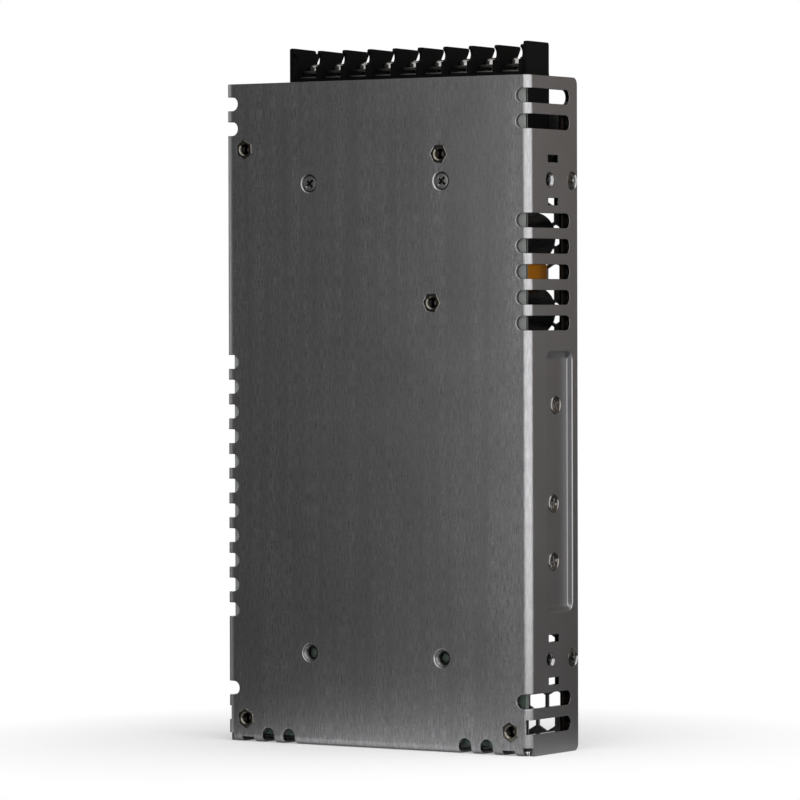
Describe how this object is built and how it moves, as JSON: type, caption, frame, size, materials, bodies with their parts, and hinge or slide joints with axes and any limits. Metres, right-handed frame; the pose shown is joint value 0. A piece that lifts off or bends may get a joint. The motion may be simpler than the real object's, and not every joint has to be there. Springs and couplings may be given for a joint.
{
  "type": "enclosed switching power supply",
  "caption": "Flat power supply in a folded, vented aluminium chassis with a perforated cover and a barrier terminal strip at one end.",
  "frame": {"origin": "middle of the case's outline at the foot of the closed end", "axes": "+X across the case towards the wall with the pressed recess, +Y from the base plate to the cover, +Z along the case towards the terminals"},
  "size_m": [0.115, 0.03, 0.223],
  "materials": {
    "aluminium_sheet": "brushed along the case",
    "perforated_sheet": "satin",
    "plated_steel": "bright plated",
    "spring_steel": "satin",
    "plated_contact": "tin plated",
    "brass": "turned",
    "film": "smooth film",
    "board": "solder resist",
    "block": "fine grained",
    "pad": "soft",
    "device_case": "moulded",
    "black_sleeve": "shrunk sleeve",
    "amber_case": "moulded",
    "fuse_tube": "matt",
    "dark_lacquer": "dipped",
    "blue_lacquer": "dipped",
    "ferrite": "ground",
    "copper_wire": "enamelled",
    "bobbin": "moulded",
    "yellow_tape": "taped",
    "powder_core": "coated",
    "resistor_body": "lacquered",
    "led_lens": "clear tinted",
    "trimmer_case": "moulded",
    "trimmer_dial": "moulded"
  },
  "bodies": {
    "case": {"chassis": "aluminium_sheet", "cover": "perforated_sheet", "cover_screws": "plated_steel", "insulating_sheet": "film", "circuit_board": "board", "board_standoffs": "brass", "board_screws": "plated_steel", "terminal_block": "block", "terminal_contacts": "plated_contact", "terminal_clamps": "plated_steel", "terminal_screws": "plated_steel", "thermal_pad": "pad", "power_devices": "device_case", "device_clamps": "spring_steel", "device_screws": "plated_steel", "bulk_capacitors": "black_sleeve", "x_capacitor": "amber_case", "fuse": "fuse_tube", "thermistor": "dark_lacquer", "varistor": "blue_lacquer", "y_capacitors": "blue_lacquer", "line_choke_core": "ferrite", "line_choke_windings": "copper_wire", "bridge_rectifier": "device_case", "transformer_core": "ferrite", "transformer_bobbin": "bobbin", "transformer_winding": "yellow_tape", "output_inductor_core": "powder_core", "output_inductor_winding": "copper_wire", "output_capacitors": "black_sleeve", "control_module": "board", "control_chip": "device_case", "optocouplers": "device_case", "power_resistors": "resistor_body", "indicator_led": "led_lens", "trimmer_body": "trimmer_case"},
    "trimmer": {"trimmer_rotor": "trimmer_dial"}
  },
  "joints": [
    {"name": "trimmer_turn", "type": "hinge", "parent": "case", "child": "trimmer", "pos_m": [-0.0437, -0.0052, 0.206], "axis": [0, 0, 1], "range_deg": [-135, 135]}
  ]
}
